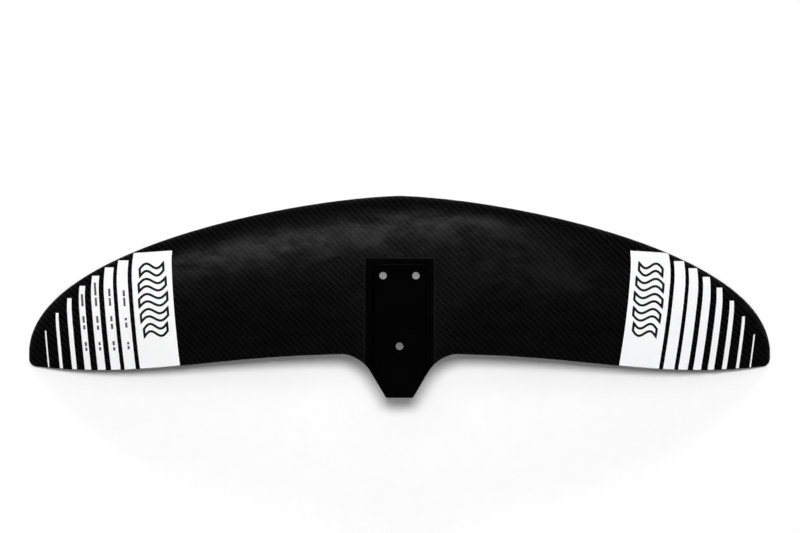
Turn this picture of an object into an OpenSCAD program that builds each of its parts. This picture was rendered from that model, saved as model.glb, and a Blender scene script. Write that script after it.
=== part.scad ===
// Hydrofoil front wing: two twill carbon skins over foam cores and a spar, with a solid
// centre block that seats the nose of the fuselage and takes three screws from below.
// +X is starboard, +Y is towards the leading edge and +Z is up, in millimetres. The origin
// is on the floor of the seat, midway between the two front screws.

/* [Planform] */
// Distance between the wing tips
span = 860; // [800:5:920]
// Leading edge at the centre, ahead of the front screws
nose_y = 92.7; // [88:0.1:100]
// How far back the leading edge runs from the centre to the tips
sweep = 185.7; // [178:0.1:192]
// Trailing edge beside the tongue, behind the front screws
tail_y = 91; // [86:0.5:96]
// How far back the trailing edge curves before the tips
tail_sweep = 19; // [14:0.5:24]
// Radius of the rear corner of each tip
tip_corner_r = 8; // [7:0.5:12]

/* [Section] */
// Greatest thickness at the centre, as a share of the chord
root_thickness = 0.131; // [0.125:0.001:0.14]
// Greatest thickness at the tips, as a share of the chord
tip_thickness = 0.096; // [0.09:0.001:0.11]
// Height of the camber arc, as a share of the chord
camber = 0.035; // [0.02:0.005:0.05]
// Nose-down slope of the chord against the seat, rise per length
tilt = 0.044; // [0.03:0.002:0.06]
// Height of the middle of the centre chord above the seat floor
chord_z = -8; // [-9:0.5:-7]
// Drop of the tips below the centre
tip_drop = 78; // [50:1:100]
// Half thickness of the leading and trailing edges
edge_half = 0.4; // [0.3:0.05:0.6]

/* [Layers] */
// Thickness of each carbon skin
skin_t = 1.2; // [0.8:0.1:1.6]
// Least gap between the skins, filled with bonding paste
bond_t = 0.3; // [0.2:0.05:0.4]
// Thickness of each spar cap
cap_t = 1.6; // [1:0.1:2]
// Thickness of the white film, above the skin
film_t = 0.3; // [0.2:0.05:0.4]

/* [Centre block] */
// Half width of the block, which is the width of the window in the skins
block_half = 39.5; // [38:0.5:42]
// Front edge of the block, ahead of the front screws
block_front = 20; // [18:0.5:24]
// Half width of the fuselage seat
seat_half = 31.6; // [30:0.2:34]
// Front wall of the fuselage seat, ahead of the front screws
seat_front = 13.2; // [12:0.2:16]
// Radius of the front corners of the seat
seat_corner_r = 8.5; // [5:0.5:10]
// Height of the collar around the seat at the end of the tongue
collar_end_z = 4; // [3:0.5:5]
// Underside of the tongue at its end
keel_end_z = -7.5; // [-9:0.5:-6.5]

/* [Tongue] */
// End of the tongue, behind the front screws
tongue_y = 142; // [136:1:148]
// Half width of the tongue's end before its corners are rounded
tongue_half = 15.6; // [13:0.1:18]
// Angle between the tongue's sides and the span
tongue_angle = 59.4; // [57:0.1:62]
// Radius of the corners at the tongue's end
tongue_corner_r = 3.5; // [2:0.5:5]
// Radius of the hollow curve between the tongue and the trailing edge
tongue_fillet_r = 44; // [38:1:48]

/* [Screws] */
// Distance between the two front screws
screw_gap = 38.2; // [34:0.2:42]
// Rear screw, behind the front screws
rear_screw_y = 82; // [78:0.5:86]
// Diameter of the screw holes
screw_hole_d = 8.6; // [8.2:0.1:9]
// Outer diameter of the bush tubes
bush_d = 12; // [11:0.5:13]
// Diameter of the bush flanges
flange_d = 19; // [18:0.5:20]
// Thickness of the bush flanges
flange_t = 3.2; // [3:0.1:3.6]
// Diameter of the screw head's cone at the underside
head_d = 16.4; // [15:0.2:17]
// Thickness of the block left over the bushes
lip_t = 1; // [0.8:0.1:1.5]

/* [Graphics] */
// Inner edge of the white panel, in from the tip along the trailing edge
panel_in = 175.1; // [172:0.1:178]
// Width of the white panel
panel_w = 46.8; // [40:0.1:50]
// Inner edge of the first stripe, in from the tip along the trailing edge
stripe_in = 123.4; // [122:0.1:125]
// Width of the first stripe
stripe_w = 12.9; // [11:0.1:14]
// How much narrower each stripe is than the one before
stripe_taper = 1.87; // [1.6:0.01:1.9]
// Step from the first stripe to the second
stripe_step = 17.7; // [17:0.1:18]
// How far the port stripes bow outward towards their tops
bow_port = 9.9; // [8:0.1:14]
// How far the starboard stripes bow outward towards their tops
bow_starboard = 14; // [8:0.1:14]

/* [Hidden] */
$fn = 96;

half_span = span / 2;
stripes = 7;

// ---- Planform ----

// The leading edge is a superellipse that closes just outside the last rib
le_reach = half_span + 0.4;
le_power = 1.506;
le_root = 0.465;
function le(x) = nose_y - sweep + sweep * pow(1 - pow(abs(x) / le_reach, le_power), le_root);

// The trailing edge is a half wave that turns forward again before the tip
te_low_x = 0.804 * half_span;
te_power = 1.42;
function te_wave(x) = -tail_y - tail_sweep / 2 * (1 - cos(180 * pow(abs(x) / te_low_x, te_power)));
function tip_round(x) = let(in_corner = max(abs(x) - half_span + tip_corner_r, 0))
    tip_corner_r - sqrt(tip_corner_r * tip_corner_r - in_corner * in_corner);
function te(x) = te_wave(x) + tip_round(x);

// The tongue: a flat end, round corners, straight sides and a hollow curve into the edge
corner_tangent = tongue_corner_r * tan(tongue_angle / 2);
corner_x = tongue_half - corner_tangent;
corner_end_x = corner_x + tongue_corner_r * sin(tongue_angle);
side_foot_x = tongue_half + (tongue_y - tail_y) / tan(tongue_angle);
fillet_tangent = tongue_fillet_r * tan(tongue_angle / 2);
fillet_end_x = side_foot_x + fillet_tangent;
fillet_start_x = side_foot_x - fillet_tangent * cos(tongue_angle);
function arc_drop(r, d) = sqrt(r * r - d * d);
function tongue(x) =
    x <= corner_x ? -tongue_y :
    x <= corner_end_x ? -tongue_y + tongue_corner_r - arc_drop(tongue_corner_r, x - corner_x) :
    x <= fillet_start_x ? -tongue_y + (x - tongue_half) * tan(tongue_angle) :
    x <= fillet_end_x ? -tail_y - tongue_fillet_r + arc_drop(tongue_fillet_r, fillet_end_x - x) :
    0;
function tail(x) = abs(x) < fillet_end_x ? min(te(x), tongue(abs(x))) : te(x);

// ---- Section ----

function mix(a, b, t) = a + (b - a) * t;
function smooth(t) = let(u = min(max(t, 0), 1)) u * u * (3 - 2 * u);
function chord(x) = le(x) - te(x);
function along(x, y) = min(max((le(x) - y) / chord(x), 0), 1);
function thickness(x) = mix(root_thickness, tip_thickness, abs(x) / half_span);
// Half thickness of the four-digit section with a closed tail, for a thickness of 1
function profile(s) = 5 * (0.2969 * sqrt(s) - 0.126 * s - 0.3516 * pow(s, 2)
    + 0.2843 * pow(s, 3) - 0.1036 * pow(s, 4));
droop_power = 2.1;
function droop(x) = tip_drop * pow(abs(x) / half_span, droop_power);
function camber_z(x, y) = let(s = along(x, y), c = chord(x))
    chord_z + tilt * c * (s - 0.5) + 4 * camber * c * s * (1 - s) - droop(x);
function half_t(x, y) = thickness(x) * chord(x) * profile(along(x, y)) + edge_half;

// The collar and the keel leave the centre section smoothly and run back along the tongue
function ease(t, z0, rise0, z1, rise1) =
    z0 * (2 * pow(t, 3) - 3 * pow(t, 2) + 1) + rise0 * (pow(t, 3) - 2 * pow(t, 2) + t)
    + z1 * (3 * pow(t, 2) - 2 * pow(t, 3)) + rise1 * (pow(t, 3) - pow(t, 2));
function top_0(y) = camber_z(0, y) + half_t(0, y);
function bottom_0(y) = camber_z(0, y) - half_t(0, y);
collar_y = 0;
collar_run = collar_y + tongue_y;
collar_z = top_0(collar_y);
collar_rise = (top_0(collar_y - 1) - top_0(collar_y)) * collar_run;
collar_end_rise = -0.05 * collar_run;
keel_y = -15;
keel_run = keel_y + tongue_y;
keel_z = bottom_0(keel_y);
keel_rise = (bottom_0(keel_y - 1) - bottom_0(keel_y)) * keel_run;
keel_end_rise = 0.02 * keel_run;
function collar(y) = y > collar_y ? top_0(y)
    : ease((collar_y - y) / collar_run, collar_z, collar_rise, collar_end_z, collar_end_rise);
function keel(y) = y > keel_y ? bottom_0(y)
    : ease((keel_y - y) / keel_run, keel_z, keel_rise, keel_end_z, keel_end_rise);

// The wing blends into the block over this stretch of the span, and over this run behind
// the front screws
blend_start = 34;
blend_end = 92;
blend_run = 45;
function near_block(x, y) = smooth(-y / blend_run)
    * (1 - smooth((abs(x) - blend_start) / (blend_end - blend_start)));
function upper(x, y) = mix(camber_z(x, y) + half_t(x, y), collar(y), near_block(x, y));
function lower(x, y) = mix(camber_z(x, y) - half_t(x, y), keel(y), near_block(x, y));
function middle(x, y) = (upper(x, y) + lower(x, y)) / 2;
function inner_half(x, y, t) = max((upper(x, y) - lower(x, y)) / 2 - t, bond_t / 2);
function ceiling_z(x, y) = middle(x, y) + inner_half(x, y, skin_t);
function floor_z(x, y) = middle(x, y) - inner_half(x, y, skin_t);
function cap_ceiling_z(x, y) = middle(x, y) + inner_half(x, y, skin_t + cap_t);
function cap_floor_z(x, y) = middle(x, y) - inner_half(x, y, skin_t + cap_t);

// ---- Lines along the wing ----

// Share of the chord at the block's front edge: the lines ahead of it run right across
block_share = (le(block_half) - block_front) / (le(block_half) - tail(block_half));
function line_y(x, f) = abs(x) < block_half
    ? le(x) - (le(x) - block_front) * f / block_share
    : le(x) - (le(x) - tail(x)) * f;
nose_share = 0.03;
spar_share = 0.26;
filler_share = 0.86;
tip_block_w = 45;
tip_block_x = half_span - tip_block_w;

// Even steps, used for ribs along the span and for chord shares
function steps(from, to, n) = [for (k = [0 : n]) from + (to - from) * k / n];
// Steps that close up towards the tip, and towards the leading edge
function tip_ribs(from, n) = [for (k = [1 : n]) from + (half_span - from) * sin(90 * k / n)];
function nose_shares(to, n) = [for (k = [0 : n]) to * pow(k / n, 2)];
// The same ribs on the other side, and on both sides of a rib at the centre
function to_port(xs) = [for (k = [len(xs) - 1 : -1 : 0]) -xs[k]];
function on_side(xs, port) = port ? to_port(xs) : xs;
function both_sides(xs) = concat([for (k = [len(xs) - 1 : -1 : 1]) -xs[k]], xs);

blend_cells = 8;
outer_cells = 18;
wing_ribs = concat(steps(block_half, blend_end, blend_cells), tip_ribs(blend_end, outer_cells));
full_ribs = both_sides(concat([0, block_half / 2], wing_ribs));

// ---- Solid between two surfaces, over a patch of grid cells ----

// place(x, k) gives the plan position of line k at rib x, upper_z and lower_z the two
// surfaces, and keep(x, k) says whether the cell behind line k at x is solid
module slab(xs, rows, place, upper_z, lower_z, keep = function(x, k) true) {
    lines = rows + 1;
    columns = len(xs);
    ground = [for (x = xs, k = [0 : rows]) place(x, k)];
    points = concat(
        [for (p = ground) [p[0], p[1], upper_z(p[0], p[1])]],
        [for (p = ground) [p[0], p[1], lower_z(p[0], p[1])]]
    );
    count = len(ground);
    function at(i, k) = i * lines + k;
    function kept(i, k) = i >= 0 && k >= 0 && i < columns - 1 && k < rows
        && keep((xs[i] + xs[i + 1]) / 2, k);
    function wall(p, q) = [[q, p, p + count], [q, p + count, q + count]];
    faces = [
        for (i = [0 : columns - 2], k = [0 : rows - 1]) if (kept(i, k))
            let(a = at(i, k), b = at(i + 1, k), c = at(i + 1, k + 1), d = at(i, k + 1))
            each concat(
                [[a, b, c], [a, c, d]],
                [[a + count, c + count, b + count], [a + count, d + count, c + count]],
                kept(i, k - 1) ? [] : wall(a, b),
                kept(i + 1, k) ? [] : wall(b, c),
                kept(i, k + 1) ? [] : wall(c, d),
                kept(i - 1, k) ? [] : wall(d, a)
            )
    ];
    polyhedron(points, faces, convexity = 8);
}

// A slab over lines of constant chord share
module wing_slab(xs, fs, upper_z, lower_z, keep = function(x, k) true) {
    slab(xs, len(fs) - 1, function(x, k) [x, line_y(x, fs[k])], upper_z, lower_z, keep);
}

// ---- Skins ----

front_lines = 8;
rear_lines = 9;
rear_step = (1 - block_share) / rear_lines;
skin_shares = concat(
    nose_shares(block_share, front_lines),
    steps(block_share + rear_step, 1, rear_lines - 1)
);
outside_window = function(x, k) abs(x) > block_half || k < front_lines;

module upper_skin() {
    color("dimgray")
    wing_slab(full_ribs, skin_shares, function(x, y) upper(x, y), function(x, y) ceiling_z(x, y),
        outside_window);
}

module lower_skin() {
    color("dimgray")
    wing_slab(full_ribs, skin_shares, function(x, y) floor_z(x, y), function(x, y) lower(x, y),
        outside_window);
}

// ---- Cores, spar and edges ----

core_cells = 14;
core_lines = 5;
edge_lines = 2;
spar_cells = 12;
tip_cells = 6;

module core(port, from, from_share, to_share) {
    color("peru")
    wing_slab(on_side(steps(from, tip_block_x, core_cells), port), steps(from_share, to_share, core_lines),
        function(x, y) ceiling_z(x, y), function(x, y) floor_z(x, y));
}

module nose_core(port) {
    core(port, 0, nose_share, spar_share);
}

module rear_core(port) {
    core(port, block_half, block_share, filler_share);
}

spar_ribs = both_sides(steps(0, tip_block_x, spar_cells));
spar_shares = steps(spar_share, block_share, edge_lines);

module shear_web() {
    color("peru")
    wing_slab(spar_ribs, spar_shares, function(x, y) cap_ceiling_z(x, y), function(x, y) cap_floor_z(x, y));
}

module upper_spar_cap() {
    color("darkslategray")
    wing_slab(spar_ribs, spar_shares, function(x, y) ceiling_z(x, y), function(x, y) cap_ceiling_z(x, y));
}

module lower_spar_cap() {
    color("darkslategray")
    wing_slab(spar_ribs, spar_shares, function(x, y) cap_floor_z(x, y), function(x, y) floor_z(x, y));
}

module leading_edge_filler() {
    color("gray")
    wing_slab(full_ribs, nose_shares(nose_share, edge_lines), function(x, y) ceiling_z(x, y),
        function(x, y) floor_z(x, y));
}

module trailing_edge_filler(port) {
    color("gray")
    wing_slab(on_side(wing_ribs, port), steps(filler_share, 1, edge_lines), function(x, y) ceiling_z(x, y),
        function(x, y) floor_z(x, y));
}

module tip_block(port) {
    xs = concat([tip_block_x], tip_ribs(tip_block_x, tip_cells));
    color("gray")
    wing_slab(on_side(xs, port), steps(nose_share, filler_share, core_lines), function(x, y) ceiling_z(x, y),
        function(x, y) floor_z(x, y));
}

// ---- Centre block ----

// Lower faces of the bushes, just inside the underside of the block
front_face_z = -11;
rear_face_z = -7.8;
screw_x = screw_gap / 2;
// Length that reaches past the block's faces
cut = 30;

corner_step = 15;
corner_ribs = [for (a = [0 : corner_step : tongue_angle]) corner_x + tongue_corner_r * sin(a)];
side_middle_x = (corner_end_x + fillet_start_x) / 2;
fillet_cells = 4;
fillet_ribs = steps(fillet_start_x, block_half, fillet_cells);
block_ribs = both_sides(concat([0, corner_x / 2], corner_ribs, [corner_end_x, side_middle_x], fillet_ribs));
block_rows = 16;
function block_place(x, k) = [x, mix(block_front, tail(x), k / block_rows)];

module seat_hole() {
    straight = seat_half - seat_corner_r;
    linear_extrude(cut) {
        translate([-seat_half, -tongue_y - 1])
        square([2 * seat_half, tongue_y + 1 + seat_front - seat_corner_r]);
        translate([-straight, seat_front - seat_corner_r - 1])
        square([2 * straight, seat_corner_r + 1]);
        for (side = [-1, 1])
            translate([side * straight, seat_front - seat_corner_r])
            circle(r = seat_corner_r);
    }
}

// Stepped hole under one bush, with its screw hole through the lip
module bush_hole(face_z) {
    translate([0, 0, -cut])
    cylinder(d = screw_hole_d, h = 2 * cut);
    translate([0, 0, -cut])
    cylinder(d = bush_d, h = cut - lip_t);
    translate([0, 0, -cut])
    cylinder(d = flange_d, h = cut + face_z + flange_t);
}

module centre_block() {
    color("black")
    difference() {
        slab(block_ribs, block_rows, function(x, k) block_place(x, k), function(x, y) upper(x, y),
            function(x, y) lower(x, y));
        seat_hole();
        for (side = [-1, 1])
            translate([side * screw_x, 0, 0])
            bush_hole(front_face_z);
        translate([0, -rear_screw_y, 0])
        bush_hole(rear_face_z);
    }
}

module bush(face_z) {
    hole_r = screw_hole_d / 2;
    head_depth = (head_d - screw_hole_d) / 2;
    color("silver")
    rotate_extrude()
    polygon([
        [hole_r, -lip_t],
        [bush_d / 2, -lip_t],
        [bush_d / 2, face_z + flange_t],
        [flange_d / 2, face_z + flange_t],
        [flange_d / 2, face_z],
        [head_d / 2, face_z],
        [hole_r, face_z + head_depth]
    ]);
}

module front_port_bush() {
    translate([-screw_x, 0, 0])
    bush(front_face_z);
}

module front_starboard_bush() {
    translate([screw_x, 0, 0])
    bush(front_face_z);
}

module rear_bush() {
    translate([0, -rear_screw_y, 0])
    bush(rear_face_z);
}

// ---- White film graphics ----

film_sink = 0.15;
film_margin = 0.6;
film_bunching = 1.5;
film_rows = 16;
panel_cells = 8;
stripe_cells = 2;
bow_y = 20;
bow_end_y = -105;
bow_power = 1.55;
// How far out a band has bowed at y, as a share of its full bow
function bow(y) = let(t = (bow_y - y) / (bow_y - bow_end_y)) 1 - sign(t) * pow(abs(t), bow_power);
// The bands turn in again where the surface rolls over towards the leading edge
turn_in = 3;
turn_reach = 32;
function turn(x, y) = turn_in * pow(1 - min(max((le(x) - y) / turn_reach, 0), 1), 2);
function film_x(foot_x, full_bow, y) = let(x = foot_x + full_bow * bow(y)) x - turn(x, y);

// A band from the trailing edge to a straight top edge, inner_x and width at the trailing edge
module film(port, inner_x, width, full_bow, top_in, top_out, columns, rows) {
    side = port ? -1 : 1;
    color("white")
    slab(on_side(steps(0, 1, columns), port), rows,
        function(u, k) let(
            foot_x = inner_x + abs(u) * width,
            y = mix(mix(top_in, top_out, abs(u)), te(foot_x) + film_margin, pow(k / rows, film_bunching)),
            x = film_x(foot_x, full_bow, y)
        ) [side * x, min(y, le(x) - film_margin)],
        function(x, y) upper(x, y) + film_t, function(x, y) upper(x, y) - film_sink);
}

function side_bow(port) = port ? bow_port : bow_starboard;
panel_top_in = 29.1;
panel_top_out = 26.2;

module tip_panel(port) {
    film(port, half_span - panel_in, panel_w, side_bow(port), panel_top_in, panel_top_out,
        panel_cells, film_rows);
}

// Each stripe bows a little less, steps a little less and stops a little further from the edge
bow_loss = 0.03;
stripe_closing = 0.21;
function top_gap(port) = port ? 4.5 : 3.5;
function top_gap_rise(port) = port ? 20 : 25;
top_gap_power = 2.3;

module stripe(port, number) {
    k = number - 1;
    inner = half_span - stripe_in + (stripe_step + stripe_closing) * k - stripe_closing * k * k;
    width = stripe_w - stripe_taper * k;
    full_bow = side_bow(port) * (1 - bow_loss * k);
    gap = top_gap(port) + top_gap_rise(port) * pow(k / (stripes - 1), top_gap_power);
    guess = le(inner + width / 2 + full_bow) - gap;
    top = le(film_x(inner + width / 2, full_bow, guess)) - gap;
    film(port, inner, width, full_bow, top, top, stripe_cells, film_rows);
}

upper_skin();
lower_skin();
nose_core(true);  // nose_core_port
nose_core(false);  // nose_core_starboard
rear_core(true);  // rear_core_port
rear_core(false);  // rear_core_starboard
shear_web();
upper_spar_cap();
lower_spar_cap();
centre_block();
front_port_bush();
front_starboard_bush();
rear_bush();
leading_edge_filler();
trailing_edge_filler(true);  // trailing_edge_filler_port
trailing_edge_filler(false);  // trailing_edge_filler_starboard
tip_block(true);  // tip_block_port
tip_block(false);  // tip_block_starboard
tip_panel(true);  // tip_panel_port
tip_panel(false);  // tip_panel_starboard
stripe(true, 1);  // stripe_1_port
stripe(true, 2);  // stripe_2_port
stripe(true, 3);  // stripe_3_port
stripe(true, 4);  // stripe_4_port
stripe(true, 5);  // stripe_5_port
stripe(true, 6);  // stripe_6_port
stripe(true, 7);  // stripe_7_port
stripe(false, 1);  // stripe_1_starboard
stripe(false, 2);  // stripe_2_starboard
stripe(false, 3);  // stripe_3_starboard
stripe(false, 4);  // stripe_4_starboard
stripe(false, 5);  // stripe_5_starboard
stripe(false, 6);  // stripe_6_starboard
stripe(false, 7);  // stripe_7_starboard
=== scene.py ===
"""Looks of the hydrofoil front wing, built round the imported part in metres.

The skins, the edge bonds, the centre block, the bushes and the white film are rebuilt as
finer meshes on the part's own surfaces, and the pieces inside keep their CAD shapes.
"""

import math

import bpy
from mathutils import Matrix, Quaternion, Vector
import numpy as np


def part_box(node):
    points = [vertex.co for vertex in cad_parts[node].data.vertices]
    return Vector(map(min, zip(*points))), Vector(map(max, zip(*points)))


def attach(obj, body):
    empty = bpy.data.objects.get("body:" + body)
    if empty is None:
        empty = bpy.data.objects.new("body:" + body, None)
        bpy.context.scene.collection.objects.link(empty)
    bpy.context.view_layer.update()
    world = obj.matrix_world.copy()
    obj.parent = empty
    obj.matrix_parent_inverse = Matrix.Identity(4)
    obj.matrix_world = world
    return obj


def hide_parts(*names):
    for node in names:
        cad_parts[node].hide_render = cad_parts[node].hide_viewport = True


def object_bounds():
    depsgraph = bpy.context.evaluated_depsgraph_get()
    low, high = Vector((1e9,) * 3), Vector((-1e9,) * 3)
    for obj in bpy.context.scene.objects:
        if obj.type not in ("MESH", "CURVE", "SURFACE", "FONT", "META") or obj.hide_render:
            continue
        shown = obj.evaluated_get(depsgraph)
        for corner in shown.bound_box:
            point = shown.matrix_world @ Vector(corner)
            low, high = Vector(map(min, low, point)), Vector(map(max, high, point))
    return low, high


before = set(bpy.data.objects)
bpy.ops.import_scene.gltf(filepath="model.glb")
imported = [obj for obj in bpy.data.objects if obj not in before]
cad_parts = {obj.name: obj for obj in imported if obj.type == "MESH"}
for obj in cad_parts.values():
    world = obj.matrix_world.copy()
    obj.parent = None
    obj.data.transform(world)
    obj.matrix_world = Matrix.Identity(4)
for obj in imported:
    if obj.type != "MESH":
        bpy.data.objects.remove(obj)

CAD_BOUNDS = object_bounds()
MM = 0.001
TINY = 1e-9

# ---- Sizes of the part, as its source has them ----

SPAN_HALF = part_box("upper_skin")[1].x
NOSE_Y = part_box("upper_skin")[1].y
BLOCK_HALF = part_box("centre_block")[1].x
BLOCK_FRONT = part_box("centre_block")[1].y
TONGUE_Y = -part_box("centre_block")[0].y
SWEEP = 185.7 * MM
TAIL_Y = 91 * MM
TAIL_SWEEP = 19 * MM
TIP_CORNER_R = 8 * MM
ROOT_THICKNESS = 0.131
TIP_THICKNESS = 0.096
CAMBER = 0.035
TILT = 0.044
CHORD_Z = -8 * MM
TIP_DROP = 78 * MM
DROOP_POWER = 2.1
EDGE_HALF = 0.4 * MM
SKIN_T = 1.2 * MM
BOND_HALF = 0.15 * MM
LE_REACH = SPAN_HALF + 0.4 * MM
LE_POWER = 1.506
LE_ROOT = 0.465
TE_LOW_X = 0.804 * SPAN_HALF
TE_POWER = 1.42
COLLAR_END_Z = 4 * MM
COLLAR_END_RISE = -0.05
KEEL_END_Z = -7.5 * MM
KEEL_END_RISE = 0.02
KEEL_Y = -15 * MM
BLEND_START = 34 * MM
BLEND_END = 92 * MM
BLEND_RUN = 45 * MM
SEAT_HALF = 31.6 * MM
SEAT_FRONT = 13.2 * MM
SEAT_CORNER_R = 8.5 * MM
TONGUE_HALF = 15.6 * MM
TONGUE_ANGLE = math.radians(59.4)
TONGUE_CORNER_R = 3.5 * MM
TONGUE_FILLET_R = 44 * MM
SCREW_HOLE_R = 4.3 * MM
BUSH_R = 6 * MM
FLANGE_R = 9.5 * MM
FLANGE_T = 3.2 * MM
HEAD_R = 8.2 * MM
LIP_T = 1 * MM
FILLER_SHARE = 0.86
NOSE_SHARE = 0.03


# ---- Planform ----


def leading(x):
    return NOSE_Y - SWEEP + SWEEP * (1 - (np.abs(x) / LE_REACH) ** LE_POWER) ** LE_ROOT


def trailing(x):
    wave = 1 - np.cos(np.pi * (np.abs(x) / TE_LOW_X) ** TE_POWER)
    in_corner = np.clip(np.abs(x) - SPAN_HALF + TIP_CORNER_R, 0, TIP_CORNER_R)
    rounding = TIP_CORNER_R - np.sqrt(TIP_CORNER_R**2 - in_corner**2)
    return -TAIL_Y - TAIL_SWEEP / 2 * wave + rounding


CORNER_X = TONGUE_HALF - TONGUE_CORNER_R * math.tan(TONGUE_ANGLE / 2)
CORNER_END_X = CORNER_X + TONGUE_CORNER_R * math.sin(TONGUE_ANGLE)
SIDE_FOOT_X = TONGUE_HALF + (TONGUE_Y - TAIL_Y) / math.tan(TONGUE_ANGLE)
FILLET_TANGENT = TONGUE_FILLET_R * math.tan(TONGUE_ANGLE / 2)
FILLET_END_X = SIDE_FOOT_X + FILLET_TANGENT
FILLET_START_X = SIDE_FOOT_X - FILLET_TANGENT * math.cos(TONGUE_ANGLE)


def tail(x):
    """The rear outline with the tongue on it: end, corner, straight side and hollow curve."""
    a = np.abs(x)
    corner = np.sqrt(np.maximum(TONGUE_CORNER_R**2 - (a - CORNER_X) ** 2, 0))
    hollow = np.sqrt(np.maximum(TONGUE_FILLET_R**2 - (FILLET_END_X - a) ** 2, 0))
    tongue = np.select(
        [a <= CORNER_X, a <= CORNER_END_X, a <= FILLET_START_X, a < FILLET_END_X],
        [
            -TONGUE_Y + 0 * a,
            -TONGUE_Y + TONGUE_CORNER_R - corner,
            -TONGUE_Y + (a - TONGUE_HALF) * math.tan(TONGUE_ANGLE),
            -TAIL_Y - TONGUE_FILLET_R + hollow,
        ],
        0.0,
    )
    return np.minimum(trailing(x), tongue)


def steepness(line, x):
    """Length of a plan line per length along X, for distances square to it."""
    near = 0.05 * MM
    low, high = np.maximum(np.abs(x) - near, 0), np.minimum(np.abs(x) + near, SPAN_HALF)
    return np.hypot(1, (line(high) - line(low)) / (high - low))


# ---- Section ----


def mix(a, b, t):
    return a + (b - a) * t


def smooth(t):
    u = np.clip(t, 0, 1)
    return u * u * (3 - 2 * u)


def chord(x):
    return leading(x) - trailing(x)


def along(x, y):
    return np.clip((leading(x) - y) / chord(x), 0, 1)


def profile(s):
    """Half thickness of a four-digit section at a chord share, per greatest thickness."""
    curve = 0.2969 * np.sqrt(s) - 0.126 * s - 0.3516 * s**2 + 0.2843 * s**3 - 0.1036 * s**4
    return 5 * curve


def camber_z(x, y):
    s, c = along(x, y), chord(x)
    droop = TIP_DROP * (np.abs(x) / SPAN_HALF) ** DROOP_POWER
    return CHORD_Z + TILT * c * (s - 0.5) + 4 * CAMBER * c * s * (1 - s) - droop


def half_t(x, y):
    thickness = mix(ROOT_THICKNESS, TIP_THICKNESS, np.abs(x) / SPAN_HALF)
    return thickness * chord(x) * profile(along(x, y)) + EDGE_HALF


def top_0(y):
    return camber_z(0.0, y) + half_t(0.0, y)


def bottom_0(y):
    return camber_z(0.0, y) - half_t(0.0, y)


def run_back(y, start, line, end_z, end_rise):
    """A centre line that leaves the section smoothly at start and eases to the tongue's end."""
    run = start + TONGUE_Y
    t = np.clip((start - y) / run, 0, 1)
    rise = (line(start - MM) - line(start)) / MM * run
    eased = (
        line(start) * (2 * t**3 - 3 * t**2 + 1)
        + rise * (t**3 - 2 * t**2 + t)
        + end_z * (3 * t**2 - 2 * t**3)
        + end_rise * run * (t**3 - t**2)
    )
    return np.where(y > start, line(y), eased)


def collar(y):
    return run_back(y, 0.0, top_0, COLLAR_END_Z, COLLAR_END_RISE)


def keel(y):
    return run_back(y, KEEL_Y, bottom_0, KEEL_END_Z, KEEL_END_RISE)


def near_block(x, y):
    """One at the block and behind its front, easing to nothing further out."""
    across = 1 - smooth((np.abs(x) - BLEND_START) / (BLEND_END - BLEND_START))
    return across * smooth(-y / BLEND_RUN)


def upper(x, y):
    return mix(camber_z(x, y) + half_t(x, y), collar(y), near_block(x, y))


def lower(x, y):
    return mix(camber_z(x, y) - half_t(x, y), keel(y), near_block(x, y))


# ---- Rounded edges ----

NOSE_R = 0.8 * MM
EDGE_LEAST = BOND_HALF + 0.04 * MM
SKIN_LEAST = 0.04 * MM
WINDOW_R = 0.5 * MM
UNDER = 0.03 * MM


def outline_distance(x, y):
    """Distance in plan from the wing's outline, inwards."""
    ahead = (leading(x) - y) / steepness(leading, x)
    behind = (y - tail(x)) / steepness(tail, x)
    return np.maximum(np.minimum(np.minimum(ahead, behind), SPAN_HALF - np.abs(x)), 0)


def window_distance(x, y):
    """Distance in plan from the window's border: positive outside it, negative in the block."""
    return np.maximum(np.abs(x) - BLOCK_HALF, y - BLOCK_FRONT)


def round_off(distance, radius):
    """How far a quarter round of this radius lies below its flat, this far from the edge."""
    t = 1 - np.clip(distance / radius, 0, 1)
    return radius * (1 - np.sqrt(1 - t**2))


def skin_half(x, y):
    """Half thickness of the wing, closed to the bond line at its outline."""
    full = (upper(x, y) - lower(x, y)) / 2
    t = 1 - np.clip(outline_distance(x, y) / NOSE_R, 0, 1)
    return EDGE_LEAST + (full - EDGE_LEAST) * np.sqrt(1 - t**2)


def middle(x, y):
    return (upper(x, y) + lower(x, y)) / 2


def inner_half(x, y):
    full = (upper(x, y) - lower(x, y)) / 2
    hollow = np.maximum(full - SKIN_T, BOND_HALF)
    return np.minimum(hollow, skin_half(x, y) - SKIN_LEAST)


def skin_top(x, y):
    """The upper surface, a hair under the part's own top."""
    surface = middle(x, y) + skin_half(x, y) - UNDER
    return surface - round_off(window_distance(x, y), WINDOW_R)


def skin_bottom(x, y):
    return middle(x, y) - skin_half(x, y) + round_off(window_distance(x, y), WINDOW_R)


# ---- Meshes ----


def solid(plan, cells, top, bottom):
    """Points and faces of the closed solid over these cells, between two heights."""
    count = len(plan)
    points = np.concatenate([np.column_stack([plan, top]), np.column_stack([plan, bottom])])
    borders = {pair for cell in cells for pair in zip(cell, (*cell[1:], cell[0]))}
    walls = [(p + count, q + count, q, p) for p, q in borders if (q, p) not in borders]
    under = [tuple(i + count for i in reversed(cell)) for cell in cells]
    return points, [*cells, *under, *sorted(walls)]


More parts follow.
